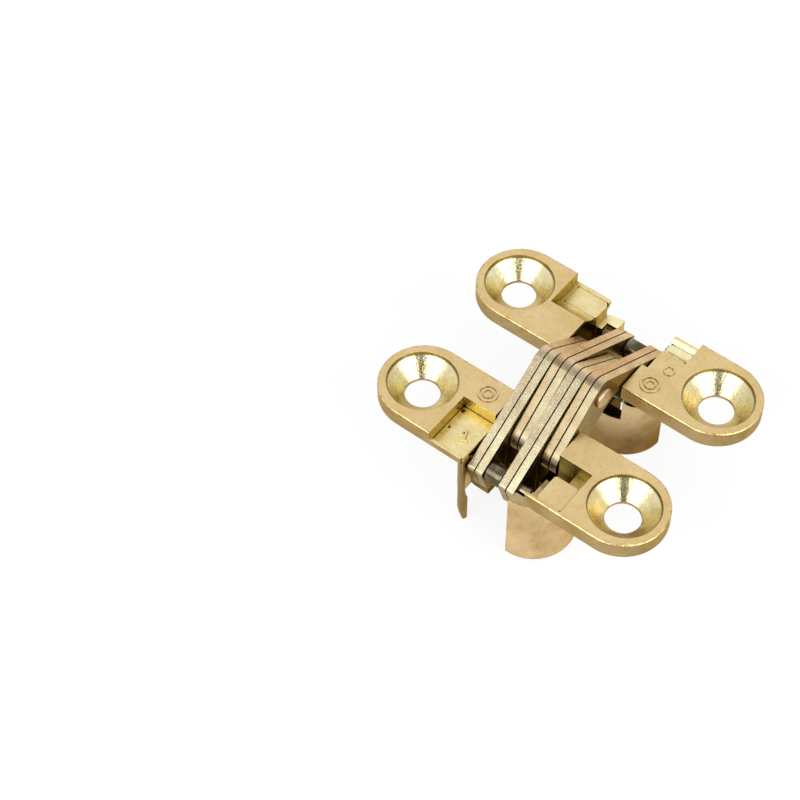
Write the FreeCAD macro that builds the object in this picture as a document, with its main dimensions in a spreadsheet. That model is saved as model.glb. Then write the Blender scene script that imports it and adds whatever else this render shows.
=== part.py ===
import FreeCAD, Part
import math
import os
import Sketcher
from FreeCAD import Vector

os.makedirs("parts", exist_ok=True)
doc = FreeCAD.newDocument("ConcealedHinge")

# Driving sizes, in millimetres and degrees. The hinge lies open flat. X runs along the
# leaves, Y across the gap between them, and the cup bottoms stand on Z = 0.
SIZES = {
    "leaf_length": 45.8,
    "leaf_width": 13.0,
    "leaf_gap": 9.4,
    "flange_thick": 3.2,
    "flange_under_round": 0.9,
    "flange_top_round": 0.25,
    "cup_length": 18.0,
    "cup_width": 12.6,
    "cup_depth": 17.7,
    "cup_bottom_round": 1.5,
    "screw_spacing": 33.5,
    "screw_bore": 5.0,
    "sink_rim": 9.7,
    "sink_angle": 90.0,
    "sink_step": 0.4,
    "sink_step_radius": 5.05,
    "ejector_radius": 1.6,
    "ejector_depth": 0.2,
    "ejector_inset": 5.3,
    "plate_thick": 1.12,
    "plate_gap": 0.18,
    "stack_side_gap": 0.12,
    "pivot_inset": 2.05,
    "pivot_depth": 4.2,
    "centre_rise": 2.4,
    "closed_gap": 0.6,
    "pivot_pin_radius": 1.2,
    "centre_pin_radius": 1.5,
    "slide_pin_radius": 0.95,
    "slide_reach": 14.4,
    "slide_depth": 5.2,
    "slide_pin_ends": 0.55,
    "groove_gap": 0.35,
    "groove_end_gap": 0.12,
    "pin_fit": 0.02,
    "running_fit": 0.05,
    "spacer_wall": 0.6,
    "centre_pin_ends": 0.5,
    "pin_end_round": 0.25,
    "pivot_pin_ends": 0.85,
    "pivot_pin_dome": 1.0,
    "guide_reach": 1.8,
    "apex_rise": 5.6,
    "apex_round": 2.0,
    "long_slope": 31.5,
    "long_arm_width": 3.2,
    "short_slope": 37.0,
    "eye_round": 2.76,
    "eye_end": 2.8,
    "eye_under": 2.4,
    "eye_under_round": 2.28,
    "plate_reach": 16.4,
    "foot_angle": 73.0,
    "foot_length": 6.0,
    "toe_width": 3.0,
    "toe_round": 1.2,
    "toe_back_round": 1.08,
    "heel_round": 0.6,
    "lobe_start": 4.2,
    "crotch_round": 1.8,
    "inner_sill_depth": 8.4,
    "inner_wall": 2.2,
    "rib_reach": 5.3,
    "outer_sill_depth": 4.3,
    "outer_wall": 3.4,
    "blind_pocket_depth": 17.1,
    "trench_depth": 7.0,
    "trench_length": 2.8,
    "window_height": 6.0,
    "recess_inner_out": 9.8,
    "recess_reach": 10.65,
    "recess_depth": 2.7,
    "lip_wall": 0.5,
    "lip_drop": 1.4,
    "block_start": 6.75,
    "block_inner_out": 12.7,
    "block_seat_depth": 2.4,
    "block_drop": 0.1,
    "scoop_reach": 11.2,
    "scoop_radius": 5.5,
    "scoop_depth": 2.3,
    "scoop_out": 15.5,
    "scoop_keeper_out": 13.6,
    "trough_reach": 10.0,
    "trough_radius": 1.6,
    "trough_depth": 0.9,
    "trough_out": 14.85,
    "trough_inset": 1.2,
    "relief_reach": 6.2,
    "relief_inner_out": 9.6,
    "keeper_seat_depth": 2.6,
    "keeper_thick": 0.5,
    "keeper_fit": 0.05,
    "keeper_radius": 0.5,
}

sheet = doc.addObject("Spreadsheet::Sheet", "Sizes")
for row, (name, value) in enumerate(SIZES.items(), start=1):
    sheet.set("A%d" % row, name)
    sheet.set("B%d" % row, str(value))
    sheet.setAlias("B%d" % row, name)
doc.recompute()

# Places worked out from the driving sizes. Heights ending in _lift are above the cup
# bottoms. Places ending in _out are distances from the mid-plane between the leaves.
layout = doc.addObject("App::VarSet", "Layout")


def derive(name, formula, kind="App::PropertyFloat"):
    layout.addProperty(kind, name, "Layout")
    layout.setExpression(name, formula)
    layout.recompute()


derive("edge_out", "Sizes.leaf_gap / 2")
derive("middle_out", "edge_out + Sizes.leaf_width / 2")
derive("far_out", "edge_out + Sizes.leaf_width")
derive("pitch", "Sizes.plate_thick + Sizes.plate_gap")
derive("stack_half", "4 * pitch")
derive("cavity_half", "stack_half + Sizes.stack_side_gap")
derive("pivot_out", "edge_out + Sizes.pivot_inset")
derive("pivot_lift", "Sizes.cup_depth - Sizes.pivot_depth")
derive("centre_lift", "Sizes.cup_depth + Sizes.centre_rise")
derive("arm_rise", "centre_lift - pivot_lift")
derive("arm_length", "sqrt(pivot_out ^ 2 + arm_rise ^ 2)")
derive("closed_rise", "Sizes.pivot_depth + Sizes.closed_gap / 2")
derive("open_angle", "atan2(arm_rise; pivot_out)", "App::PropertyAngle")
derive("arm_swing", "180 deg - asin(closed_rise / arm_length) - open_angle", "App::PropertyAngle")
derive("link_swing", "180 deg - arm_swing", "App::PropertyAngle")

# The sliding pin's path in the leaf: its place open, half way and closed, and the arc
# through them.
derive("slide_drop", "Sizes.slide_depth + Sizes.centre_rise")
derive("open_out", "Sizes.slide_reach")
derive("open_lift", "Sizes.cup_depth - Sizes.slide_depth")
derive("half_out", "pivot_out - arm_length * cos(open_angle + arm_swing / 2)"
       " + Sizes.slide_reach * cos(link_swing / 2) - slide_drop * sin(link_swing / 2)")
derive("half_lift", "pivot_lift + arm_length * sin(open_angle + arm_swing / 2)"
       " - Sizes.slide_reach * sin(link_swing / 2) - slide_drop * cos(link_swing / 2)")
derive("shut_out", "pivot_out - arm_length * cos(open_angle + arm_swing)"
       " + Sizes.slide_reach * cos(link_swing) - slide_drop * sin(link_swing)")
derive("shut_lift", "pivot_lift + arm_length * sin(open_angle + arm_swing)"
       " - Sizes.slide_reach * sin(link_swing) - slide_drop * cos(link_swing)")
derive("chord_out", "shut_out - open_out")
derive("chord_lift", "shut_lift - open_lift")
derive("chord", "sqrt(chord_out ^ 2 + chord_lift ^ 2)")
derive("bulge", "(-(half_out - open_out) * chord_lift + (half_lift - open_lift) * chord_out) / chord")
derive("along", "((half_out - open_out) * chord_out + (half_lift - open_lift) * chord_lift) / chord")
derive("centre_shift", "(along ^ 2 + bulge ^ 2 - chord * along) / (2 * bulge)")
derive("path_radius", "sqrt(chord ^ 2 / 4 + centre_shift ^ 2)")
derive("path_out", "(open_out + shut_out) / 2 - centre_shift * chord_lift / chord")
derive("path_lift", "(open_lift + shut_lift) / 2 + centre_shift * chord_out / chord")
derive("groove_half", "Sizes.slide_pin_radius + Sizes.groove_gap")
derive("slide_pin_half", "cavity_half + Sizes.slide_pin_ends")
derive("groove_end", "slide_pin_half + Sizes.groove_end_gap")
derive("guide_start", "2 * pitch")
derive("slide_pin_end", "guide_start + Sizes.guide_reach - Sizes.groove_end_gap")
derive("pivot_pin_half", "cavity_half + Sizes.pivot_pin_ends")
derive("lip_out", "far_out - Sizes.lip_wall")
derive("trough_edge", "far_out - Sizes.trough_inset")
derive("trough_keeper_out", "Sizes.trough_out - Sizes.trough_radius")

# The link plate's outline: u is measured from the mid-plane towards the long arm.
derive("apex_lift", "Sizes.cup_depth + Sizes.apex_rise")
derive("long_fall", "tan(Sizes.long_slope * 1 deg)")
derive("heel_lift", "apex_lift - Sizes.plate_reach * long_fall")
derive("foot_cos", "cos(Sizes.foot_angle * 1 deg)")
derive("foot_sin", "sin(Sizes.foot_angle * 1 deg)")
derive("toe_u", "Sizes.plate_reach - Sizes.foot_length * foot_cos")
derive("toe_lift", "heel_lift - Sizes.foot_length * foot_sin")
derive("toe_back_u", "toe_u - Sizes.toe_width * foot_sin")
derive("toe_back_lift", "toe_lift + Sizes.toe_width * foot_cos")
derive("under_lift", "apex_lift - Sizes.long_arm_width / cos(Sizes.long_slope * 1 deg)")
derive("lobe_u", "pivot_out + Sizes.lobe_start")
derive("lobe_lift", "under_lift - lobe_u * long_fall")
derive("short_cos", "cos(Sizes.short_slope * 1 deg)")
derive("short_sin", "sin(Sizes.short_slope * 1 deg)")
derive("eye_over", "(apex_lift - pivot_lift) * short_cos - pivot_out * short_sin")
derive("short_under_lift", "apex_lift - (eye_over + Sizes.eye_under) / short_cos")
derive("elbow_u", "pivot_out / 7")
derive("elbow_lift", "short_under_lift + elbow_u * short_sin / short_cos")
derive("neck_u", "pivot_out / 2")
derive("neck_lift", "under_lift - neck_u * long_fall")
doc.recompute()


def value(formula):
    """The number that a formula on the sheet and the layout comes to."""
    result = layout.evalExpression(formula)
    return float(getattr(result, "Value", result))


def body(name):
    """An empty body for one piece, labelled with the piece's name."""
    piece = doc.addObject("PartDesign::Body", name)
    piece.Label = name
    return piece


def sketch_on(piece, role, name, offset="0"):
    """A sketch on one of the body's origin planes, lifted off it by a formula."""
    plane = [item for item in piece.Origin.OriginFeatures if item.Role == role][0]
    sketch = piece.newObject("Sketcher::SketchObject", piece.Name + "_" + name)
    sketch.AttachmentSupport = [(plane, "")]
    sketch.MapMode = "FlatFace"
    sketch.setExpression("AttachmentOffset.Base.z", offset)
    return sketch


def pin_down(sketch, item, point, across, along):
    """Hold one point of a sketch at a place given by two formulas."""
    for kind, formula in (("DistanceX", across), ("DistanceY", along)):
        index = sketch.addConstraint(make_constraint(kind, item, point, value(formula)))
        sketch.setExpression("Constraints[%d]" % index, formula)


def make_constraint(kind, item, point, number):
    return Sketcher.Constraint(kind, -1, 1, item, point, number)


def polygon(sketch, corners):
    """A closed outline through corners given as pairs of formulas."""
    points = [Vector(value(across), value(along), 0) for across, along in corners]
    count = len(points)
    for index in range(count):
        sketch.addGeometry(Part.LineSegment(points[index], points[(index + 1) % count]), False)
    for index in range(count):
        sketch.addConstraint(Sketcher.Constraint("Coincident", index, 2, (index + 1) % count, 1))
    for index, (across, along) in enumerate(corners):
        pin_down(sketch, index, 1, across, along)


def rectangle(sketch, low_across, low_along, high_across, high_along):
    """A rectangle between two opposite corners."""
    polygon(sketch, [(low_across, low_along), (high_across, low_along),
                     (high_across, high_along), (low_across, high_along)])


def circle(sketch, across, along, radius):
    """A circle whose centre and radius are formulas."""
    centre = Vector(value(across), value(along), 0)
    item = sketch.addGeometry(Part.Circle(centre, Vector(0, 0, 1), value(radius)), False)
    pin_down(sketch, item, 3, across, along)
    index = sketch.addConstraint(Sketcher.Constraint("Radius", item, value(radius)))
    sketch.setExpression("Constraints[%d]" % index, radius)


def obround(sketch, half_length, along, radius):
    """A slot-shaped outline: two straight sides joined by half circles."""
    half, middle, size = value(half_length), value(along), value(radius)
    up = Vector(0, size, 0)
    right, left = Vector(half, middle, 0), Vector(-half, middle, 0)
    quarter = math.pi / 2
    sketch.addGeometry(Part.ArcOfCircle(Part.Circle(right, Vector(0, 0, 1), size), -quarter, quarter), False)
    sketch.addGeometry(Part.LineSegment(right + up, left + up), False)
    sketch.addGeometry(Part.ArcOfCircle(Part.Circle(left, Vector(0, 0, 1), size), quarter, 3 * quarter), False)
    sketch.addGeometry(Part.LineSegment(left - up, right - up), False)
    for first, second in ((0, 1), (1, 2), (2, 3), (3, 0)):
        sketch.addConstraint(Sketcher.Constraint("Tangent", first, 2, second, 1))
    sketch.addConstraint(Sketcher.Constraint("Equal", 0, 2))
    pin_down(sketch, 0, 3, half_length, along)
    pin_down(sketch, 2, 3, "-(%s)" % half_length, along)
    index = sketch.addConstraint(Sketcher.Constraint("Radius", 0, size))
    sketch.setExpression("Constraints[%d]" % index, radius)


def pad(piece, sketch, length, name):
    """Grow a sketch along its plane's normal."""
    feature = piece.newObject("PartDesign::Pad", piece.Name + "_" + name)
    feature.Profile = sketch
    feature.setExpression("Length", length)
    sketch.Visibility = False
    doc.recompute()
    return feature


def pocket(piece, sketch, length, name):
    """Cut a sketch into the body, towards the plane's normal."""
    before = piece.Shape.Volume
    feature = piece.newObject("PartDesign::Pocket", piece.Name + "_" + name)
    feature.Profile = sketch
    feature.Reversed = True
    feature.setExpression("Length", length)
    sketch.Visibility = False
    doc.recompute()
    if piece.Shape.Volume > before - 1e-6:
        raise RuntimeError(feature.Name + " cuts nothing")
    return feature


def fillet(piece, names, radius, name):
    """Round the named edges of the body."""
    if not names:
        raise RuntimeError("%s has no edge for %s" % (piece.Label, name))
    base = piece.Tip
    feature = piece.newObject("PartDesign::Fillet", piece.Name + "_" + name)
    feature.Base = (base, names)
    feature.setExpression("Radius", radius)
    doc.recompute()
    return feature


def edges_at_height(piece, height, tolerance=0.001):
    """The names of the edges that lie flat at one height."""
    names = []
    for index, edge in enumerate(piece.Shape.Edges, start=1):
        box = edge.BoundBox
        if abs(box.ZMin - height) < tolerance and abs(box.ZMax - height) < tolerance:
            names.append("Edge%d" % index)
    return names


def edges_through(piece, across, lift):
    """The names of the edges that run along X through a place in the Y and Z directions."""
    names = []
    for index, edge in enumerate(piece.Shape.Edges, start=1):
        box = edge.BoundBox
        if box.XLength < 0.1 or box.YLength > 0.001 or box.ZLength > 0.001:
            continue
        if abs(box.YMin - value(across)) < 0.002 and abs(box.ZMin - value(lift)) < 0.002:
            names.append("Edge%d" % index)
    return names


# Leaf castings. Each is drawn on its own centreline's side, at negative Y, and the second
# is turned half a turn about Z.
def leaf_casting(name):
    piece = body(name)
    flange = sketch_on(piece, "XY_Plane", "flange_outline", "Sizes.cup_depth - Sizes.flange_thick")
    obround(flange, "Sizes.leaf_length / 2 - Sizes.leaf_width / 2", "-Layout.middle_out",
            "Sizes.leaf_width / 2")
    pad(piece, flange, "Sizes.flange_thick", "flange")
    fillet(piece, edges_at_height(piece, value("Sizes.cup_depth - Sizes.flange_thick")),
           "Sizes.flange_under_round", "under_edge")
    fillet(piece, edges_at_height(piece, value("Sizes.cup_depth")), "Sizes.flange_top_round", "top_edge")
    cup = sketch_on(piece, "XY_Plane", "cup_outline")
    obround(cup, "(Sizes.cup_length - Sizes.cup_width) / 2", "-Layout.middle_out", "Sizes.cup_width / 2")
    pad(piece, cup, "Sizes.cup_depth - Sizes.flange_thick / 2", "cup")
    fillet(piece, edges_at_height(piece, 0), "Sizes.cup_bottom_round", "cup_bottom")
    return piece


def face_recess(piece, name, low_x, low_y, high_x, high_y, depth):
    """A rectangular recess cut from the face."""
    sketch = sketch_on(piece, "XY_Plane", name + "_outline", "Sizes.cup_depth - %s" % depth)
    rectangle(sketch, low_x, low_y, high_x, high_y)
    pocket(piece, sketch, "%s + 1" % depth, name)


def face_groove(piece, name, start, length, out, radius, depth):
    """A round-bottomed groove along X, cut from the face."""
    sketch = sketch_on(piece, "YZ_Plane", name + "_outline", start)
    circle(sketch, "-(%s)" % out, "Sizes.cup_depth + %s - %s" % (radius, depth), radius)
    pocket(piece, sketch, length, name)


def scoop(piece):
    """The hollow that the centre pin's end swings into, at the right of leaf b's cavity."""
    face_groove(piece, "scoop", "Layout.cavity_half - 0.05", "Sizes.scoop_reach - Layout.cavity_half + 0.05",
                "Sizes.scoop_out", "Sizes.scoop_radius", "Sizes.scoop_depth")


def trough(piece):
    """The narrow groove along the outer edge, at the left of leaf b's cavity."""
    face_groove(piece, "trough", "-Sizes.trough_reach", "Sizes.trough_reach - Layout.cavity_half",
                "Sizes.trough_out", "Sizes.trough_radius", "Sizes.trough_depth")


def leaf_a_ends(piece):
    """Leaf a's open recess with its low lip at the left, and its block seat at the right."""
    face_recess(piece, "floor_plate_seat", "-Sizes.recess_reach", "-Layout.lip_out",
                "-Layout.cavity_half + 0.05", "-Sizes.recess_inner_out", "Sizes.recess_depth")
    face_recess(piece, "lip_top", "-Sizes.recess_reach", "-(Layout.far_out + 1)",
                "-Layout.cavity_half + 0.05", "-Layout.lip_out + 0.05", "Sizes.lip_drop")
    face_recess(piece, "block_seat", "Layout.cavity_half - 0.05", "-Layout.lip_out",
                "Sizes.recess_reach", "-Sizes.recess_inner_out", "Sizes.block_seat_depth")
    face_recess(piece, "trench", "Layout.cavity_half - 0.05", "-Sizes.block_inner_out",
                "Layout.cavity_half + Sizes.trench_length", "-Sizes.recess_inner_out",
                "Sizes.trench_depth")


def leaf_b_ends(piece):
    """Leaf b's trough, with the outline stepped in beside it, and its scoop."""
    face_recess(piece, "outline_step", "-Sizes.trough_reach", "-(Layout.far_out + 1)",
                "-Layout.cavity_half + 0.05", "-Layout.trough_edge", "Sizes.flange_thick")
    face_recess(piece, "stack_relief", "-Sizes.relief_reach", "-(Layout.trough_edge + 1)",
                "-Layout.cavity_half + 0.05", "-Sizes.relief_inner_out", "Sizes.keeper_seat_depth")
    face_recess(piece, "trough_keeper_seat", "-Sizes.trough_reach", "-Sizes.trough_out - Sizes.trough_radius / 2",
                "-Sizes.relief_reach + 0.05", "-Layout.trough_keeper_out", "Sizes.keeper_seat_depth")
    trough(piece)
    face_recess(piece, "scoop_keeper_seat", "Layout.cavity_half - 0.05", "-Layout.lip_out",
                "Sizes.recess_reach", "-Sizes.scoop_keeper_out", "Sizes.keeper_seat_depth")
    scoop(piece)


def slide_window(piece):
    """The opening low in the left end wall that the sliding pin is put in through."""
    sketch = sketch_on(piece, "YZ_Plane", "slide_window_outline", "-Sizes.cup_length / 2 - 1")
    rectangle(sketch, "-(Layout.open_out + Layout.groove_half)", "-1",
              "-(Layout.shut_out - Layout.groove_half)", "Sizes.window_height")
    pocket(piece, sketch, "Sizes.cup_length / 2 + 1 - Layout.cavity_half + 0.05", "slide_window")


def ejector_marks(piece):
    """The two round marks that the die's ejector pins leave under the flange."""
    marks = sketch_on(piece, "XY_Plane", "ejector_outline", "Sizes.cup_depth - Sizes.flange_thick")
    for sign in ("-", ""):
        circle(marks, sign + "(Sizes.screw_spacing / 2 - Sizes.ejector_inset)", "-Layout.middle_out",
               "Sizes.ejector_radius")
    pocket(piece, marks, "Sizes.ejector_depth", "ejector_marks")


def sink_steps(piece):
    """The short straight step round the rim of each countersink."""
    sketch = sketch_on(piece, "XY_Plane", "sink_step_outline", "Sizes.cup_depth - Sizes.sink_step")
    for sign in ("-", ""):
        circle(sketch, sign + "Sizes.screw_spacing / 2", "-Layout.middle_out", "Sizes.sink_step_radius")
    pocket(piece, sketch, "Sizes.sink_step + 1", "sink_steps")


def screw_holes(piece):
    """Two countersunk holes, cut from the foot of the steps."""
    holes = sketch_on(piece, "XY_Plane", "hole_centres", "Sizes.cup_depth - Sizes.sink_step")
    for sign in ("-", ""):
        circle(holes, sign + "Sizes.screw_spacing / 2", "-Layout.middle_out", "Sizes.screw_bore / 2")
    doc.recompute()
    feature = piece.newObject("PartDesign::Hole", piece.Name + "_screw_holes")
    feature.Profile = holes
    doc.recompute()
    feature.Threaded = False
    feature.DepthType = "ThroughAll"
    feature.HoleCutType = "Countersink"
    feature.setExpression("Diameter", "Sizes.screw_bore")
    feature.setExpression("HoleCutDiameter", "Sizes.sink_rim")
    feature.setExpression("HoleCutCountersinkAngle", "Sizes.sink_angle * 1 deg")
    holes.Visibility = False
    doc.recompute()


def link_cavity(piece):
    """The well that the links swing in: four lanes, each as deep as its plates need."""
    over, under = "Sizes.cup_depth + 1", "-1"
    outside, inside = "-(Layout.far_out + 1)", "-(Layout.edge_out - 1)"
    sill = "Sizes.cup_depth - Sizes.inner_sill_depth"
    inner = "-(Layout.edge_out + Sizes.inner_wall)"
    rib = "-(Layout.edge_out + Sizes.rib_reach)"
    step = "Sizes.cup_depth - Sizes.outer_sill_depth"
    wall = "-(Layout.far_out - Sizes.outer_wall)"
    floor = "Sizes.cup_depth - Sizes.blind_pocket_depth"
    deep = [(outside, over), (outside, under), (inner, under), (inner, sill), (inside, sill), (inside, over)]
    ribbed = [(outside, over), (outside, under), (rib, under), (rib, sill), (inside, sill), (inside, over)]
    blind = [(outside, over), (outside, step), (wall, step), (wall, floor), (rib, floor), (rib, sill),
             (inside, sill), (inside, over)]
    lanes = (
        ("first_long_arm_lane", "-Layout.cavity_half", "Layout.cavity_half - 2 * Layout.pitch", deep),
        ("first_short_arm_lane", "-2 * Layout.pitch", "2 * Layout.pitch", ribbed),
        ("second_long_arm_lane", "0", "2 * Layout.pitch", deep),
        ("second_short_arm_lane", "2 * Layout.pitch", "Layout.cavity_half - 2 * Layout.pitch", blind),
    )
    for name, start, length, outline in lanes:
        sketch = sketch_on(piece, "YZ_Plane", name + "_outline", start)
        polygon(sketch, outline)
        pocket(piece, sketch, length, name)


# The two guides of the sliding pin's ends: name, where along X each starts, and its length.
GUIDES = (
    ("left", "-Layout.groove_end", "Layout.groove_end - Layout.cavity_half + 0.1"),
    ("right", "Layout.guide_start - 0.1", "Sizes.guide_reach + 0.1"),
)


def slide_grooves(piece):
    """The curved grooves in both end walls that the sliding pin's ends run in."""
    for name, start, span in GUIDES:
        name += "_groove"
        sketch = sketch_on(piece, "YZ_Plane", name + "_outline", start)
        centre = Vector(-value("Layout.path_out"), value("Layout.path_lift"), 0)
        radius, half = value("Layout.path_radius"), value("Layout.groove_half")
        ends = [Vector(-value("Layout.open_out"), value("Layout.open_lift"), 0),
                Vector(-value("Layout.shut_out"), value("Layout.shut_lift"), 0)]
        turns = [math.atan2(end.y - centre.y, end.x - centre.x) % (2 * math.pi) for end in ends]
        normal = Vector(0, 0, 1)
        outer = Part.ArcOfCircle(Part.Circle(centre, normal, radius + half), turns[0], turns[1])
        inner = Part.ArcOfCircle(Part.Circle(centre, normal, radius - half), turns[0], turns[1])
        top = Part.ArcOfCircle(Part.Circle(ends[0], normal, half), turns[0] - math.pi, turns[0])
        bottom = Part.ArcOfCircle(Part.Circle(ends[1], normal, half), turns[1], turns[1] + math.pi)
        for arc in (outer, inner, top, bottom):
            sketch.addGeometry(arc, False)
        for item, point, second, other in ((0, 1, 2, 2), (0, 2, 3, 1), (1, 1, 2, 1), (1, 2, 3, 2)):
            sketch.addConstraint(Sketcher.Constraint("Tangent", item, point, second, other))
        sketch.addConstraint(Sketcher.Constraint("Coincident", 0, 3, 1, 3))
        pin_down(sketch, 0, 3, "-Layout.path_out", "Layout.path_lift")
        pin_down(sketch, 2, 3, "-Layout.open_out", "Layout.open_lift")
        index = sketch.addConstraint(make_constraint("DistanceY", 3, 3, value("Layout.shut_lift")))
        sketch.setExpression("Constraints[%d]" % index, "Layout.shut_lift")
        index = sketch.addConstraint(Sketcher.Constraint("Radius", 2, half))
        sketch.setExpression("Constraints[%d]" % index, "Layout.groove_half")
        pocket(piece, sketch, span, name)


def groove_mouths(piece):
    """The openings at the face that the sliding pin's ends drop in through."""
    for name, start, span in GUIDES:
        name += "_mouth"
        sketch = sketch_on(piece, "YZ_Plane", name + "_outline", start)
        rectangle(sketch, "-(Layout.open_out + Layout.groove_half)", "Layout.open_lift",
                  "-(Layout.open_out - Layout.groove_half)", "Sizes.cup_depth + 1")
        pocket(piece, sketch, span, name)


def pivot_bores(piece):
    """The bores through both end walls that hold the fixed pivot pin."""
    sketch = sketch_on(piece, "YZ_Plane", "pivot_bore_outline", "-Sizes.cup_length / 2")
    circle(sketch, "-Layout.pivot_out", "Layout.pivot_lift", "Sizes.pivot_pin_radius + Sizes.pin_fit")
    pocket(piece, sketch, "Sizes.cup_length", "pivot_bore")


def link_plate(name, start, side):
    """A stamped link. The long arm reaches towards side (-1 or 1) and ends in a foot."""
    sign = "-" if side < 0 else ""
    away = "" if side < 0 else "-"
    piece = body(name)
    outline = sketch_on(piece, "YZ_Plane", "outline", start)
    corners = [
        ("0", "Layout.apex_lift"),
        ("Sizes.plate_reach", "Layout.heel_lift"),
        ("Layout.toe_u", "Layout.toe_lift"),
        ("Layout.toe_back_u", "Layout.toe_back_lift"),
        ("Layout.lobe_u", "Layout.lobe_lift"),
        ("Layout.neck_u", "Layout.neck_lift"),
        ("Layout.elbow_u", "Layout.elbow_lift"),
        ("(-Layout.pivot_out + Sizes.eye_under * Layout.short_sin - Sizes.eye_end * Layout.short_cos)",
         "Layout.pivot_lift - Sizes.eye_under * Layout.short_cos - Sizes.eye_end * Layout.short_sin"),
        ("(-Layout.pivot_out - Layout.eye_over * Layout.short_sin - Sizes.eye_end * Layout.short_cos)",
         "Layout.pivot_lift + Layout.eye_over * Layout.short_cos - Sizes.eye_end * Layout.short_sin"),
    ]
    places = [("%s(%s)" % (sign, across), lift) for across, lift in corners]
    polygon(outline, places)
    circle(outline, "0", "Layout.centre_lift", "Sizes.centre_pin_radius + Sizes.running_fit")
    circle(outline, "%sLayout.pivot_out" % away, "Layout.pivot_lift",
           "Sizes.pivot_pin_radius + Sizes.running_fit")
    circle(outline, "%sSizes.slide_reach" % sign, "Layout.open_lift",
           "Sizes.slide_pin_radius + Sizes.pin_fit")
    pad(piece, outline, "Sizes.plate_thick", "plate")
    rounds = (
        ("apex", 0, "Sizes.apex_round"), ("heel", 1, "Sizes.heel_round"), ("toe", 2, "Sizes.toe_round"),
        ("toe_back", 3, "Sizes.toe_back_round"), ("neck", 5, "Sizes.crotch_round"),
        ("elbow", 6, "Sizes.crotch_round"), ("eye_under", 7, "Sizes.eye_under_round"),
        ("eye_over", 8, "Sizes.eye_round"),
    )
    for label, corner, radius in rounds:
        fillet(piece, edges_through(piece, *places[corner]), radius, label)
    return piece


def round_bar(name, across, lift, radius, start, length, end_round="Sizes.pin_end_round", bore=None):
    """A pin along X with rounded ends, or a sleeve where it has a bore."""
    piece = body(name)
    sketch = sketch_on(piece, "YZ_Plane", "section", start)
    circle(sketch, across, lift, radius)
    if bore is not None:
        circle(sketch, across, lift, bore)
    pad(piece, sketch, length, "bar")
    if bore is None:
        ends = ["Edge%d" % index for index, edge in enumerate(piece.Shape.Edges, start=1)
                if edge.BoundBox.XLength < 0.001]
        fillet(piece, ends, end_round, "ends")
    return piece


def keeper(name, low_x, low_y, high_x, high_y, bottom, thick):
    """A small plate that lies in its recess with a little room all round."""
    piece = body(name)
    sketch = sketch_on(piece, "XY_Plane", "outline", "Sizes.cup_depth - %s" % bottom)
    rectangle(sketch, low_x + " + Sizes.keeper_fit", low_y + " + Sizes.keeper_fit",
              high_x + " - Sizes.keeper_fit", high_y + " - Sizes.keeper_fit")
    pad(piece, sketch, thick, "plate")
    names = ["Edge%d" % index for index, edge in enumerate(piece.Shape.Edges, start=1)
             if edge.BoundBox.ZLength > 0.1 and edge.BoundBox.XLength < 0.001]
    fillet(piece, names, "Sizes.keeper_radius", "corners")
    return piece


def leaf_a_keepers():
    """The thin numbered plate over the groove's mouth, and the block in the right recess."""
    left = keeper("pin_keeper_a_left", "-Sizes.recess_reach", "-Layout.lip_out", "-Layout.cavity_half",
                  "-Sizes.recess_inner_out", "Sizes.recess_depth", "Sizes.keeper_thick")
    right = keeper("pin_keeper_a_right", "Sizes.block_start", "-Layout.lip_out", "Sizes.recess_reach",
                   "-Sizes.block_inner_out", "Sizes.block_seat_depth",
                   "Sizes.block_seat_depth - Sizes.block_drop")
    return [left, right]


def leaf_b_keepers():
    """The plates under the trough and the scoop, each cut to the same hollow as the casting."""
    left = keeper("pin_keeper_b_left", "-Sizes.trough_reach",
                  "-Sizes.trough_out - Sizes.trough_radius / 2", "-Sizes.relief_reach",
                  "-Layout.trough_keeper_out", "Sizes.keeper_seat_depth", "Sizes.keeper_seat_depth")
    trough(left)
    right = keeper("pin_keeper_b_right", "Layout.cavity_half", "-Layout.lip_out", "Sizes.recess_reach",
                   "-Sizes.scoop_keeper_out", "Sizes.keeper_seat_depth", "Sizes.keeper_seat_depth")
    scoop(right)
    return [left, right]


HALF_TURN = FreeCAD.Rotation(Vector(0, 0, 1), 180)
pieces = []

for leaf, cut_ends, make_keepers in (("a", leaf_a_ends, leaf_a_keepers), ("b", leaf_b_ends, leaf_b_keepers)):
    casting = leaf_casting("leaf_casting_" + leaf)
    link_cavity(casting)
    cut_ends(casting)
    groove_mouths(casting)
    slide_grooves(casting)
    slide_window(casting)
    pivot_bores(casting)
    ejector_marks(casting)
    sink_steps(casting)
    screw_holes(casting)
    pivot_pin = round_bar("pivot_pin_" + leaf, "-Layout.pivot_out", "Layout.pivot_lift",
                          "Sizes.pivot_pin_radius", "-Layout.pivot_pin_half", "2 * Layout.pivot_pin_half",
                          end_round="Sizes.pivot_pin_dome")
    made = [casting] + make_keepers() + [pivot_pin]
    if leaf == "b":
        for piece in made:
            piece.Placement = FreeCAD.Placement(Vector(0, 0, 0), HALF_TURN)
    pieces += made

for column in range(8):
    side = -1 if column in (0, 1, 4, 5) else 1
    letter = "a" if side < 0 else "b"
    start = "(%d * Layout.pitch + Sizes.plate_gap / 2)" % (column - 4)
    pieces.append(link_plate("link_plate_%d_%s" % (column + 1, letter), start, side))

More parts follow.
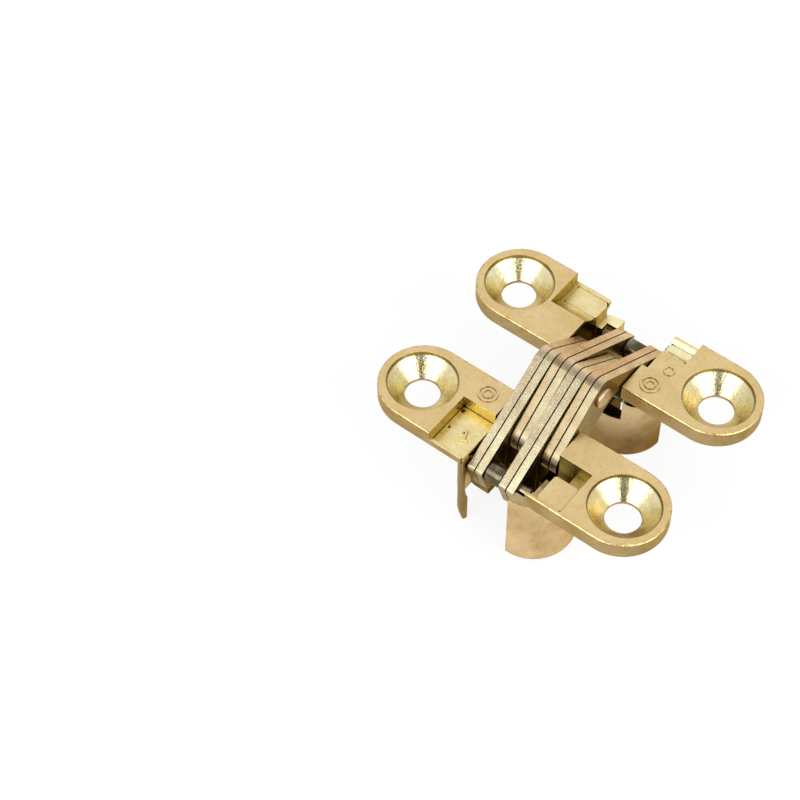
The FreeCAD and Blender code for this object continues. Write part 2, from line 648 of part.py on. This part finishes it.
pieces.append(round_bar("centre_pin", "0", "Layout.centre_lift", "Sizes.centre_pin_radius",
                        "-(Layout.stack_half + Sizes.centre_pin_ends)",
                        "2 * (Layout.stack_half + Sizes.centre_pin_ends)"))
for leaf, sign in (("a", "-"), ("b", "")):
    pin_start = "-Layout.slide_pin_half" if leaf == "a" else "-Layout.slide_pin_end"
    pieces.append(round_bar("slide_pin_" + leaf, sign + "Sizes.slide_reach", "Layout.open_lift",
                            "Sizes.slide_pin_radius", pin_start,
                            "Layout.slide_pin_half + Layout.slide_pin_end"))
    sleeve_start = "-2 * Layout.pitch + Sizes.plate_gap / 2" if leaf == "a" else "Sizes.plate_gap / 2"
    pieces.append(round_bar("spacer_sleeve_" + leaf, sign + "Sizes.slide_reach", "Layout.open_lift",
                            "Sizes.slide_pin_radius + Sizes.spacer_wall", sleeve_start,
                            "2 * Layout.pitch - Sizes.plate_gap",
                            bore="Sizes.slide_pin_radius + Sizes.pin_fit"))

doc.recompute()
for item in doc.Objects:
    if "Invalid" in item.State or "Error" in item.State:
        raise RuntimeError("%s failed: %s" % (item.Label, item.State))
for piece in pieces:
    if piece.Shape.isNull() or not piece.Shape.isValid() or len(piece.Shape.Solids) != 1:
        raise RuntimeError(piece.Label + " is not one valid solid")
for piece in pieces:
    piece.Shape.exportStep(os.path.join("parts", piece.Label + ".step"))
    print("%-22s %9.2f mm3" % (piece.Label, piece.Shape.Volume))
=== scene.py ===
import math

import bmesh
import bpy
from mathutils import Euler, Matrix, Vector

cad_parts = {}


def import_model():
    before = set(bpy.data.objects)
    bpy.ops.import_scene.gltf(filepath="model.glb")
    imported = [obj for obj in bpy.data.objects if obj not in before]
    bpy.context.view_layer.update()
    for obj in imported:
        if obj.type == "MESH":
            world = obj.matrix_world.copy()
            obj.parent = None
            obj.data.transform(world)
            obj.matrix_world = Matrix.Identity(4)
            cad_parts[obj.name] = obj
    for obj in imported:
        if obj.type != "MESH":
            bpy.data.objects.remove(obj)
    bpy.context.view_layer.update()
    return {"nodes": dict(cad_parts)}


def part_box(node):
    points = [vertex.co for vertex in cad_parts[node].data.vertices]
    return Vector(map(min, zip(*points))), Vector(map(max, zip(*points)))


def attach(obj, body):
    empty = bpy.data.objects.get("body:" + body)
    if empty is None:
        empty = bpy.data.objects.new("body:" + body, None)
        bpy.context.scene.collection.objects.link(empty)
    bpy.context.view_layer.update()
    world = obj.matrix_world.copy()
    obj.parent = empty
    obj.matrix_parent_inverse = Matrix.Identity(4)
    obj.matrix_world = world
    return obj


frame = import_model()

MM = 0.001

# The photograph's camera, fitted to the leaf outlines and the screw holes.
CAMERA_PLACE = Vector((88.56, -146.10, 241.67)) * MM
CAMERA_TURN = (36.847, 0.523, 38.327)
LENS = 92.69
SENSOR = 36.0

# Heights of a leaf's face and of its flange's underside.
LEAF_LOW, LEAF_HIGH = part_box("leaf_casting_a")
FLANGE_THICK = 3.2 * MM
FACE = LEAF_HIGH[2]
FLANGE_UNDER = FACE - FLANGE_THICK

# The outline of a leaf: half its width, how far its middle line lies from the hinge's, and where
# its round ends have their centres. The same for the cup, and the cavity's half length.
LEAF_HALF = (LEAF_HIGH[1] - LEAF_LOW[1]) / 2
MIDDLE = -(LEAF_HIGH[1] + LEAF_LOW[1]) / 2
END_MIDDLE = LEAF_HIGH[0] - LEAF_HALF
CUP_HALF = 6.3 * MM
CUP_END_MIDDLE = 2.7 * MM
CAVITY_HALF = 5.32 * MM

# The screws' distance from the middle, and the bands of radius over which the tones change at
# the countersink's edge, at its rim, where a dark line is painted shade, and at the bore.
SCREW = 16.75 * MM
SINK_EDGE = (4.95 * MM, 5.03 * MM)
SINK_RIM = (4.74 * MM, 4.86 * MM)
BORE_EDGE = (2.50 * MM, 2.58 * MM)

# How far outwards of a leaf's middle line the cavity's outer sills begin.
OUTER_SIDE = (2.9 * MM, 3.1 * MM)

# The radius that the shader gives to sharp edges.
EDGE_ROUND = 0.10 * MM


def link(tree, source, target):
    """Join an output socket to an input socket."""
    tree.links.new(source, target)


def node(tree, kind, **values):
    """A shader node with its inputs and properties set by name, where _ in a name is a space."""
    made = tree.nodes.new(kind)
    for name, value in values.items():
        label = name.replace("_", " ")
        if label in made.inputs:
            made.inputs[label].default_value = value
        else:
            setattr(made, name, value)
    return made


def noise(tree, coords, scale, detail, roughness, distortion=0.0):
    """Noise over object coordinates, at a scale per metre."""
    made = node(tree, "ShaderNodeTexNoise", Scale=scale, Detail=detail, Roughness=roughness,
                Distortion=distortion)
    link(tree, coords, made.inputs["Vector"])
    return made.outputs["Fac"]


def ramp(tree, fac, stops):
    """A colour ramp through (place, colour) stops."""
    made = tree.nodes.new("ShaderNodeValToRGB")
    elements = made.color_ramp.elements
    while len(elements) < len(stops):
        elements.new(0.5)
    for element, (place, colour) in zip(elements, stops):
        element.position = place
        element.color = (*colour, 1.0)
    link(tree, fac, made.inputs["Fac"])
    return made.outputs["Color"]


def mix(tree, fac, first, second, mode="MIX"):
    """Mix two colours. The factor and both colours may be sockets or values."""
    made = node(tree, "ShaderNodeMix", data_type="RGBA", blend_type=mode)
    for name, value in (("Factor", fac), ("A", first), ("B", second)):
        socket = [item for item in made.inputs if item.name == name and item.enabled][0]
        if isinstance(value, bpy.types.NodeSocket):
            link(tree, value, socket)
        else:
            socket.default_value = value if name == "Factor" else (*value, 1.0)
    return [item for item in made.outputs if item.enabled][0]


def remap(tree, value, low, high, out_low=0.0, out_high=1.0):
    """A value from low to high, smoothed and carried over to another range."""
    made = tree.nodes.new("ShaderNodeMapRange")
    made.interpolation_type = "SMOOTHSTEP"
    link(tree, value, made.inputs["Value"])
    for name, number in (("From Min", low), ("From Max", high), ("To Min", out_low), ("To Max", out_high)):
        made.inputs[name].default_value = number
    return made.outputs["Result"]


def maths(tree, operation, *values):
    """One step of arithmetic on sockets or numbers."""
    made = node(tree, "ShaderNodeMath", operation=operation)
    for socket, value in zip(made.inputs, values):
        if isinstance(value, bpy.types.NodeSocket):
            link(tree, value, socket)
        else:
            socket.default_value = value
    return made.outputs["Value"]


def distance(tree, across, along):
    """The length of a flat vector."""
    squares = [maths(tree, "MULTIPLY", value, value) for value in (across, along)]
    return maths(tree, "SQRT", maths(tree, "ADD", *squares))


def crevices(tree, colour, reach, shade):
    """Paint shade into a colour where other surfaces lie close by."""
    near = node(tree, "ShaderNodeAmbientOcclusion", samples=6, Distance=reach)
    return mix(tree, remap(tree, near.outputs["AO"], 0.15, 0.85), shade, colour)


def bumps(tree, layers):
    """Softened edges, with bump built up on them from (height, strength, distance) layers."""
    normal = node(tree, "ShaderNodeBevel", samples=4, Radius=EDGE_ROUND).outputs["Normal"]
    for height, strength, distance in layers:
        made = node(tree, "ShaderNodeBump", Strength=strength, Distance=distance)
        link(tree, height, made.inputs["Height"])
        link(tree, normal, made.inputs["Normal"])
        normal = made.outputs["Normal"]
    return normal


def blank(name):
    """A new metal material: its tree, its shader and the object's own coordinates."""
    material = bpy.data.materials.new(name)
    material.use_nodes = True
    tree = material.node_tree
    shader = tree.nodes["Principled BSDF"]
    shader.inputs["Metallic"].default_value = 1.0
    shader.inputs["Specular Tint"].default_value = (0.76, 0.63, 0.42, 1.0)
    coords = tree.nodes.new("ShaderNodeTexCoord")
    return material, tree, shader, coords


def slope_light(tree, coords, far):
    """Painted light and shade on the stamped links by facing: a darker, cooler near slope, painted light
    on the far slope given by far, and darker flats.
    """
    facing = tree.nodes.new("ShaderNodeSeparateXYZ")
    link(tree, coords.outputs["Normal"], facing.inputs["Vector"])
    slope = remap(tree, facing.outputs["Y"], -0.35, 0.35)
    tint = mix(tree, slope, (0.74, 0.74, 0.73), far)
    flat = remap(tree, maths(tree, "ABSOLUTE", facing.outputs["X"]), 0.6, 0.8)
    return mix(tree, flat, tint, (0.74, 0.67, 0.58))


def spotted(tree, place, colour, spots):
    """Dark casting flaws at (x, y, radius) places, with a ragged outline."""
    ragged = noise(tree, place, 1600.0, 3.0, 0.6)
    split = tree.nodes.new("ShaderNodeSeparateXYZ")
    link(tree, place, split.inputs["Vector"])
    for x, y, radius in spots:
        across = maths(tree, "SUBTRACT", split.outputs["X"], x * MM)
        along = maths(tree, "SUBTRACT", split.outputs["Y"], y * MM)
        away = maths(tree, "MULTIPLY", distance(tree, across, along), maths(tree, "ADD", ragged, 0.5))
        colour = mix(tree, remap(tree, away, 0.7 * radius * MM, radius * MM), (0.10, 0.055, 0.02), colour)
    return colour


# How much fine grain darkens and lightens a metal: (place on the noise, colour) stops. In SPARKLE the
# stops above 1 add painted glints to the grain.
CALM = ((0.36, (0.92, 0.90, 0.87)), (0.50, (1.0, 1.0, 1.0)))
SPARKLE = ((0.34, (0.72, 0.69, 0.62)), (0.50, (0.97, 0.97, 0.97)), (0.66, (1.20, 1.20, 1.18)))


def metal(name, shades, rough, grain_scale, grain, reach=0.6 * MM, far=None, spots=(), specks=CALM):
    """A plated metal: tone varied by slow noise, with fine grain in its bump and roughness.

    shades are its dark, middle and light tones, grain_scale and grain the scale and strength of
    the grain, and reach how far the painted shade in crevices reaches. far is the painted light on
    the stamped links' far slope, see slope_light().
    """
    material, tree, shader, coords = blank(name)
    place = coords.outputs["Object"]
    slow = noise(tree, place, 300.0, 5.0, 0.6)
    fine = noise(tree, place, grain_scale, 6.0, 0.65)
    colour = ramp(tree, slow, [(0.30, shades[0]), (0.50, shades[1]), (0.72, shades[2])])
    speckle = ramp(tree, fine, specks)
    colour = mix(tree, 1.0, colour, speckle, "MULTIPLY")
    if spots:
        colour = spotted(tree, place, colour, spots)
    if far:
        colour = mix(tree, 1.0, colour, slope_light(tree, coords, far), "MULTIPLY")
    # Painted shade in crevices.
    if reach > 0:
        colour = crevices(tree, colour, reach, (0.05, 0.03, 0.015))
    link(tree, colour, shader.inputs["Base Color"])
    link(tree, remap(tree, fine, 0.3, 0.7, rough - 0.06, rough + 0.08), shader.inputs["Roughness"])
    link(tree, bumps(tree, [(fine, grain, 0.05 * MM)]), shader.inputs["Normal"])
    return material


def cast_brass():
    """Brass plating on a casting, in tones for its different parts, with painted light and shade: tops
    lighter than walls, and painted shade deep in the hollows and crevices.
    """
    material, tree, shader, coords = blank("cast_brass")

    # How far a point lies from the hinge's middle along X, from its leaf's middle line, from the
    # line between the centres of the leaf's or the cup's round ends, and from the nearest screw.
    place = coords.outputs["Object"]
    split = tree.nodes.new("ShaderNodeSeparateXYZ")
    link(tree, place, split.inputs["Vector"])
    across = maths(tree, "ABSOLUTE", split.outputs["X"])
    aside = maths(tree, "SUBTRACT", maths(tree, "ABSOLUTE", split.outputs["Y"]), MIDDLE)
    height = split.outputs["Z"]
    facing = tree.nodes.new("ShaderNodeSeparateXYZ")
    link(tree, coords.outputs["Normal"], facing.inputs["Vector"])
    upward = facing.outputs["Z"]
    beyond = maths(tree, "MAXIMUM", maths(tree, "SUBTRACT", across, END_MIDDLE), 0.0)
    reach = distance(tree, beyond, aside)
    beyond = maths(tree, "MAXIMUM", maths(tree, "SUBTRACT", across, CUP_END_MIDDLE), 0.0)
    cup_reach = distance(tree, beyond, aside)
    screw_reach = distance(tree, maths(tree, "SUBTRACT", across, SCREW), aside)

    # Tones of each part, from dark to light.
    slow = noise(tree, place, 210.0, 5.0, 0.62, 0.6)
    fine = noise(tree, place, 2300.0, 7.0, 0.7)

    def shades(dark, middle, light):
        """Three tones spread over the slow noise."""
        return ramp(tree, slow, [(0.29, dark), (0.51, middle), (0.75, light)])

    face = shades((0.67, 0.49, 0.225), (0.73, 0.545, 0.262), (0.79, 0.61, 0.33))
    hollow = shades((0.72, 0.58, 0.24), (0.82, 0.69, 0.34), (0.92, 0.82, 0.50))
    hollow_wall = shades((0.40, 0.32, 0.09), (0.54, 0.44, 0.14), (0.70, 0.60, 0.24))
    side = shades((0.34, 0.235, 0.09), (0.46, 0.33, 0.157), (0.565, 0.42, 0.23))
    cup = shades((0.54, 0.37, 0.18), (0.70, 0.51, 0.27), (0.82, 0.62, 0.37))
    # Painted shade for the low part of leaf B's cup.
    shaded_low_cup = shades((0.15, 0.085, 0.03), (0.24, 0.145, 0.055), (0.34, 0.22, 0.10))
    sink = shades((0.60, 0.50, 0.25), (0.77, 0.69, 0.41), (0.88, 0.82, 0.55))
    sill = shades((0.80, 0.72, 0.38), (0.90, 0.84, 0.50), (0.97, 0.93, 0.64))
    # Painted shade on leaf A's sills, and darker painted shade on its seat beside the block.
    shaded_sill = shades((0.30, 0.22, 0.10), (0.46, 0.34, 0.18), (0.60, 0.47, 0.28))
    shaded_seat = shades((0.14, 0.10, 0.05), (0.33, 0.26, 0.14), (0.56, 0.47, 0.28))
    # Painted shade deep in the cavity.
    deep_shade = shades((0.10, 0.065, 0.02), (0.20, 0.14, 0.05), (0.32, 0.25, 0.09))
    bore = shades((0.36, 0.22, 0.11), (0.50, 0.33, 0.19), (0.62, 0.44, 0.28))
    # Painted shade inside the cavity, under the links.
    cavity_shade = (0.05, 0.028, 0.012)

    # Masks, each 1 on its part of the casting and 0 elsewhere.
    is_up = remap(tree, upward, 0.25, 0.60)
    is_face = remap(tree, height, FACE - 0.30 * MM, FACE - 0.05 * MM)
    is_flange = remap(tree, height, FLANGE_UNDER - 0.3 * MM, FLANGE_UNDER + 0.2 * MM)
    on_b = remap(tree, split.outputs["Y"], -1.0 * MM, 1.0 * MM)
    # Painted shade on the low part of leaf B's cup.
    is_low = maths(tree, "MULTIPLY", remap(tree, height, 3.0 * MM, 12.0 * MM, 1.0, 0.0), on_b)
    # Where the painted shade deep in the cavity begins.
    is_deep = remap(tree, height, FACE - 4.0 * MM, FACE - 2.8 * MM, 1.0, 0.0)
    is_outer = remap(tree, aside, *OUTER_SIDE)
    in_outline = remap(tree, reach, LEAF_HALF - 0.45 * MM, LEAF_HALF - 0.30 * MM, 1.0, 0.0)
    in_cup = remap(tree, cup_reach, CUP_HALF - 0.30 * MM, CUP_HALF - 0.15 * MM, 1.0, 0.0)
    is_inner = maths(tree, "ADD", maths(tree, "MULTIPLY", is_flange, in_outline),
                     maths(tree, "MULTIPLY", maths(tree, "SUBTRACT", 1.0, is_flange), in_cup))
    over_flange = remap(tree, height, FLANGE_UNDER + 0.05 * MM, FLANGE_UNDER + 0.15 * MM)
    in_sink = maths(tree, "MULTIPLY", over_flange,
                    remap(tree, screw_reach, *SINK_EDGE, 1.0, 0.0))
    in_bore = maths(tree, "MULTIPLY", over_flange,
                    remap(tree, screw_reach, *BORE_EDGE, 1.0, 0.0))
    is_down = remap(tree, upward, -0.45, -0.15, 1.0, 0.0)
    # Painted shade inside the cavity, under the links.
    in_cavity = maths(tree, "MULTIPLY", remap(tree, across, CAVITY_HALF, CAVITY_HALF + 0.1 * MM, 1.0, 0.0),
                      maths(tree, "MULTIPLY", is_inner,
                            remap(tree, height, FACE - 0.8 * MM, FACE - 0.3 * MM, 1.0, 0.0)))
    in_cavity = maths(tree, "MULTIPLY", in_cavity, maths(tree, "SUBTRACT", 1.0, is_outer))

    # The parts' colours, laid over each other. Tops take lighter tones than walls: painted light and shade
    # by facing.
    outside = mix(tree, is_flange, mix(tree, is_low, cup, shaded_low_cup), side)
    inside = mix(tree, is_deep, hollow_wall, mix(tree, is_outer, deep_shade, cup))
    walls = mix(tree, is_inner, outside, inside)
    low_tops = mix(tree, is_deep, hollow, mix(tree, is_outer, deep_shade, mix(tree, on_b, shaded_sill, sill)))
    # Painted shade on leaf A's seat beside the block.
    seat = maths(tree, "MULTIPLY", remap(tree, split.outputs["X"], CAVITY_HALF, CAVITY_HALF + 0.1 * MM),
                 maths(tree, "SUBTRACT", 1.0, on_b))
    low_tops = mix(tree, seat, low_tops, mix(tree, is_outer, shaded_seat, shaded_sill))
    tops = mix(tree, is_face, low_tops, face)
    colour = mix(tree, is_up, walls, tops)
    # The low finger is at the cup's end where X and Y have the same sign. Its darker colour is painted
    # shade.
    finger = maths(tree, "MULTIPLY", maths(tree, "SUBTRACT", 1.0, is_flange),
                   maths(tree, "MULTIPLY", remap(tree, aside, 4.4 * MM, 4.8 * MM),
                         remap(tree, maths(tree, "MULTIPLY", split.outputs["X"], split.outputs["Y"]),
                               2.0e-5, 4.0e-5)))
    colour = mix(tree, finger, colour, mix(tree, 1.0, colour, (0.42, 0.40, 0.42), "MULTIPLY"))
    # Painted shade: a dark line at the countersink's rim, and a darker wall where it faces +Y.
    rim = remap(tree, screw_reach, *SINK_RIM)
    sink = mix(tree, maths(tree, "MULTIPLY", rim, 0.75), sink, (0.24, 0.17, 0.07))
    far_wall = remap(tree, facing.outputs["Y"], 0.25, 0.65)
    sink = mix(tree, far_wall, sink, mix(tree, 1.0, sink, (0.72, 0.63, 0.45), "MULTIPLY"))
    colour = mix(tree, in_sink, colour, sink)
    colour = mix(tree, in_bore, colour, bore)
    colour = mix(tree, in_cavity, colour, cavity_shade)
    colour = mix(tree, is_down, colour, mix(tree, is_flange, cup, side))

    # Grain, worn edges, pits, and painted shade in crevices.
    grain = ramp(tree, fine, [(0.36, (0.91, 0.88, 0.82)), (0.50, (1.0, 1.0, 1.0))])
    colour = mix(tree, 1.0, colour, grain, "MULTIPLY")
    coarse = noise(tree, place, 1300.0, 4.0, 0.6)
    worn = ramp(tree, coarse, [(0.38, (0.50, 0.40, 0.28)), (0.52, (1.06, 1.04, 1.0))])
    at_edge = maths(tree, "MULTIPLY", remap(tree, height, FACE - 0.55 * MM, FACE - 0.25 * MM),
                    remap(tree, reach, LEAF_HALF - 0.40 * MM, LEAF_HALF - 0.20 * MM))
    colour = mix(tree, maths(tree, "MULTIPLY", at_edge, 0.6), colour,
                 mix(tree, 1.0, colour, worn, "MULTIPLY"))
    pits = node(tree, "ShaderNodeTexVoronoi", Scale=420.0, Randomness=1.0)
    link(tree, place, pits.inputs["Vector"])
    pit = remap(tree, pits.outputs["Distance"], 0.015, 0.055)
    colour = mix(tree, remap(tree, pit, 0.0, 1.0, 0.45, 1.0), (0.30, 0.21, 0.10), colour)
    colour = crevices(tree, colour, 0.9 * MM, (0.16, 0.10, 0.035))
    link(tree, colour, shader.inputs["Base Color"])

    # The countersinks are coined smoother than the rest, but less even.
    satin = remap(tree, fine, 0.3, 0.7, 0.24, 0.38)
    coined = remap(tree, fine, 0.3, 0.7, 0.16, 0.26)
    rough = maths(tree, "ADD", maths(tree, "MULTIPLY", in_sink, coined),
                  maths(tree, "MULTIPLY", maths(tree, "SUBTRACT", 1.0, in_sink), satin))
    link(tree, rough, shader.inputs["Roughness"])
    peel = noise(tree, place, 900.0, 3.0, 0.5)
    coin = maths(tree, "MULTIPLY", in_sink, noise(tree, place, 2300.0, 3.0, 0.6))
    layers = [(fine, 0.30, 0.05 * MM), (peel, 0.25, 0.12 * MM), (pit, 0.3, 0.05 * MM),
              (coin, 0.50, 0.07 * MM)]
    link(tree, bumps(tree, layers), shader.inputs["Normal"])
    return material


# The link plates' tones and the painted light on their far slopes, which repeat after four plates from the
# left of the stack.
PLATE_TONES = (
    ((0.47, 0.39, 0.25), (0.58, 0.49, 0.32), (0.68, 0.59, 0.41)),
    ((0.50, 0.43, 0.27), (0.62, 0.55, 0.36), (0.74, 0.68, 0.48)),
    ((0.34, 0.255, 0.14), (0.425, 0.33, 0.195), (0.51, 0.415, 0.27)),
    ((0.35, 0.285, 0.17), (0.425, 0.36, 0.225), (0.52, 0.46, 0.31)),
)
FAR_SLOPE_LIGHT = ((1.33, 1.17, 1.14), (1.33, 1.17, 1.14), (1.68, 1.48, 1.46), (1.68, 1.48, 1.46))


def finishes():
    """Put the right metal on every piece of the frame, and give back the two that marks need."""
    keeper = metal("keeper_brass", ((0.70, 0.54, 0.24), (0.80, 0.65, 0.32), (0.90, 0.79, 0.47)),
                   0.32, 2400.0, 0.3, 0.25 * MM)
    numbered = metal("numbered_brass", ((0.72, 0.56, 0.25), (0.83, 0.69, 0.34), (0.93, 0.83, 0.50)),
                     0.30, 2400.0, 0.3, 0.25 * MM, spots=((-10.05, -13.86, 0.26), (-10.20, -10.60, 0.38)))
    block = metal("block_brass", ((0.66, 0.49, 0.23), (0.74, 0.56, 0.28), (0.82, 0.66, 0.36)),
                  0.32, 2400.0, 0.3, 0.25 * MM)
    bright = metal("bright_brass", ((0.78, 0.68, 0.36), (0.88, 0.80, 0.48), (0.96, 0.92, 0.64)),
                   0.26, 2400.0, 0.2, 0.25 * MM)
    # The steel's very dark tones are painted shade on the pins inside the hinge.
    steel = metal("pin_steel", ((0.05, 0.04, 0.025), (0.12, 0.10, 0.065), (0.38, 0.34, 0.25)),
                  0.17, 3200.0, 0.2)
    rivet = metal("centre_pin_brass", ((0.42, 0.29, 0.15), (0.58, 0.42, 0.25), (0.74, 0.59, 0.40)),
                  0.36, 2600.0, 0.5)
    plates = [metal("stamped_brass_%d" % index, tones, 0.30, 4600.0, 0.25, 0.0, far, specks=SPARKLE)
              for index, (tones, far) in enumerate(zip(PLATE_TONES, FAR_SLOPE_LIGHT), start=1)]
    cast = cast_brass()
    kinds = (("leaf_casting", cast), ("pin_keeper_a_left", numbered), ("pin_keeper_a_right", block),
             ("pin_keeper_b_left", bright), ("pin_keeper_b_right", keeper), ("centre_pin", rivet),
             ("pivot_pin", steel), ("slide_pin", steel), ("spacer_sleeve", steel))
    for name, piece in frame["nodes"].items():
        if name.startswith("link_plate"):
            finish = plates[(int(name.split("_")[2]) - 1) % len(plates)]
        else:
            finish = [material for start, material in kinds if name.startswith(start)][0]
        piece.data.materials.clear()
        piece.data.materials.append(finish)
    return cast, numbered


def raised(name, outlines, height, thick, finish, body):
    """A low raised mark: flat outlines at a height, grown upwards and given a body to ride on."""
    mesh = bpy.data.meshes.new(name)
    builder = bmesh.new()
    for outer, inner in outlines:
        count = len(outer)
        levels = [(outer, 0.0), (outer, thick)]
        if inner:
            levels += [(inner, thick), (inner, 0.0)]
        rings = [[builder.verts.new((x, y, height + lift)) for x, y in points] for points, lift in levels]
        if inner:
            rings.append(rings[0])
        else:
            builder.faces.new(rings[0])
            builder.faces.new(rings[1])
        for first, second in zip(rings, rings[1:]):
            for index in range(count):
                after = (index + 1) % count
                builder.faces.new((first[index], first[after], second[after], second[index]))
    bmesh.ops.recalc_face_normals(builder, faces=builder.faces)
    builder.to_mesh(mesh)
    builder.free()
    mark = bpy.data.objects.new(name, mesh)
    bpy.context.scene.collection.objects.link(mark)
    mesh.materials.append(finish)
    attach(mark, body)


def ring(x, y, radius, width):
    """The outer and inner outline of a ring."""
    turns = [2 * math.pi * index / RING_CORNERS for index in range(RING_CORNERS)]
    return [[(x + size * math.cos(turn), y + size * math.sin(turn)) for turn in turns]
            for size in (radius, radius - width)]


# The corners of a ring's outline, and the rings on each face as (x, y, radius, width) in
# millimetres.
RING_CORNERS = 40
RINGS_A = ((-8.35, -7.45, 1.45, 0.28), (-8.35, -7.45, 0.80, 0.26))
RINGS_B = ((8.15, 7.35, 1.45, 0.28), (8.15, 7.35, 0.80, 0.26), (8.90, 10.90, 0.85, 0.26))

# Marks start a little inside the surface that carries them. How thick they are from there.
MARK_SUNK = 0.01 * MM
RING_THICK = 0.17 * MM
FIGURE_THICK = 0.32 * MM

# The figure 1: where its foot stands and which way it points, in millimetres, and its outline,
# across and up from the middle of its foot.
FIGURE_FOOT = Vector((-7.04, -14.73))
FIGURE_UP = Vector((-0.353, 0.935))
FIGURE = ((-0.55, 0.0), (0.55, 0.0), (0.55, 0.24), (0.15, 0.24), (0.15, 1.92), (-0.12, 1.92),
          (-0.58, 1.50), (-0.44, 1.30), (-0.15, 1.55), (-0.15, 0.24), (-0.55, 0.24))


def marks(cast, numbered):
    """The plain raised rings cast on the faces, and the figure on the numbered plate."""
    for name, rings, body in (("cast_ring_a", RINGS_A, "leaf_a"), ("cast_ring_b", RINGS_B, "leaf_b")):
        outlines = [ring(*(value * MM for value in values)) for values in rings]
        raised(name, outlines, FACE - MARK_SUNK, RING_THICK, cast, body)
    right = Vector((FIGURE_UP.y, -FIGURE_UP.x))
    places = [(FIGURE_FOOT + right * across + FIGURE_UP * along) * MM for across, along in FIGURE]
    raised("figure_one", [([tuple(place) for place in places], None)],
           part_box("pin_keeper_a_left")[1][2] - MARK_SUNK, FIGURE_THICK, numbered, "leaf_a")


def seen_rays(tree):
    """1 for rays that show the background itself: camera, glossy and transmission rays."""
    path = tree.nodes.new("ShaderNodeLightPath")
    seen = maths(tree, "MAXIMUM", path.outputs["Is Camera Ray"], path.outputs["Is Glossy Ray"])
    return maths(tree, "MAXIMUM", seen, path.outputs["Is Transmission Ray"])


# The floor's size in metres, the share of it that glows for seen rays, and how strongly the
# surroundings light the hinge, against 1 where they are seen.
FLOOR_SIZE = 4.0
FLOOR_GLOW = 0.88
WORLD_LIGHT = 0.75


def floor():
    """A plain white floor, partly glowing to the camera, that keeps a light shadow."""
    bpy.ops.mesh.primitive_plane_add(size=FLOOR_SIZE, location=(0, 0, 0))
    plane = bpy.context.object
    plane.name = "floor"
    material = bpy.data.materials.new("floor_white")
    material.use_nodes = True
    tree = material.node_tree
    tree.nodes.clear()
    matt = node(tree, "ShaderNodeBsdfDiffuse", Color=(0.92, 0.92, 0.92, 1.0))
    glow = node(tree, "ShaderNodeEmission", Color=(1.0, 1.0, 1.0, 1.0), Strength=1.0)
    blend = tree.nodes.new("ShaderNodeMixShader")
    link(tree, maths(tree, "MULTIPLY", seen_rays(tree), FLOOR_GLOW), blend.inputs["Fac"])
    link(tree, matt.outputs["BSDF"], blend.inputs[1])
    link(tree, glow.outputs["Emission"], blend.inputs[2])
    output = tree.nodes.new("ShaderNodeOutputMaterial")
    link(tree, blend.outputs["Shader"], output.inputs["Surface"])
    plane.data.materials.append(material)


def world():
    """Plain white surroundings: full white where seen, dimmer as a light."""
    sky = bpy.data.worlds.new("studio")
    bpy.context.scene.world = sky
    sky.use_nodes = True
    tree = sky.node_tree
    background = tree.nodes["Background"]
    background.inputs["Color"].default_value = (1.0, 1.0, 1.0, 1.0)
    link(tree, remap(tree, seen_rays(tree), 0.0, 1.0, WORLD_LIGHT, 1.0), background.inputs["Strength"])


# The point that the lamps and the card face, then each lamp's side, power in watts and place, and
# the card's place, width and height, in metres.
AIM = Vector((0, 0, 0.015))
LAMP_SIZE = 0.40
LAMP_POWER = 1.6
LAMPS = (("left_front", (-0.04, -0.44, 0.31)), ("right_front", (0.44, -0.06, 0.31)))
CARD_PLACE = (0.165, -0.205, 0.20)
CARD_SIZE = (0.18, 0.17)


def towards_aim(place):
    """The rotation that turns the -Z side of a thing at this place to AIM."""
    return (AIM - Vector(place)).to_track_quat("-Z", "Y").to_euler()


def lamps():
    """Two soft square lamps, which the bright lobes in the countersinks mirror."""
    for name, place in LAMPS:
        data = bpy.data.lights.new(name, "AREA")
        data.size = LAMP_SIZE
        data.energy = LAMP_POWER
        item = bpy.data.objects.new(name, data)
        bpy.context.scene.collection.objects.link(item)
        item.location = place
        item.rotation_euler = towards_aim(place)


def dark_card():
    """A dark card beside the lens, which gives the countersinks their dark band."""
    bpy.ops.mesh.primitive_plane_add(size=1.0, location=CARD_PLACE)
    card = bpy.context.object
    card.name = "dark_card"
    card.scale = (*CARD_SIZE, 1.0)
    card.rotation_euler = towards_aim(CARD_PLACE)
    card.visible_camera = False
    card.visible_shadow = False
    card.visible_diffuse = False
    material = bpy.data.materials.new("card_black")
    material.use_nodes = True
    shader = material.node_tree.nodes["Principled BSDF"]
    shader.inputs["Base Color"].default_value = (0.02, 0.015, 0.01, 1.0)
    shader.inputs["Roughness"].default_value = 0.9
    card.data.materials.append(material)


def camera():
    """The photograph's viewpoint."""
    data = bpy.data.cameras.new("camera")
    data.lens = LENS
    data.sensor_width = SENSOR
    data.clip_start = 0.01
    item = bpy.data.objects.new("camera", data)
    bpy.context.scene.collection.objects.link(item)
    item.location = CAMERA_PLACE
    item.rotation_euler = Euler([math.radians(turn) for turn in CAMERA_TURN])
    bpy.context.scene.camera = item


marks(*finishes())
floor()
lamps()
dark_card()
world()
camera()
bpy.context.scene.view_settings.view_transform = "Standard"
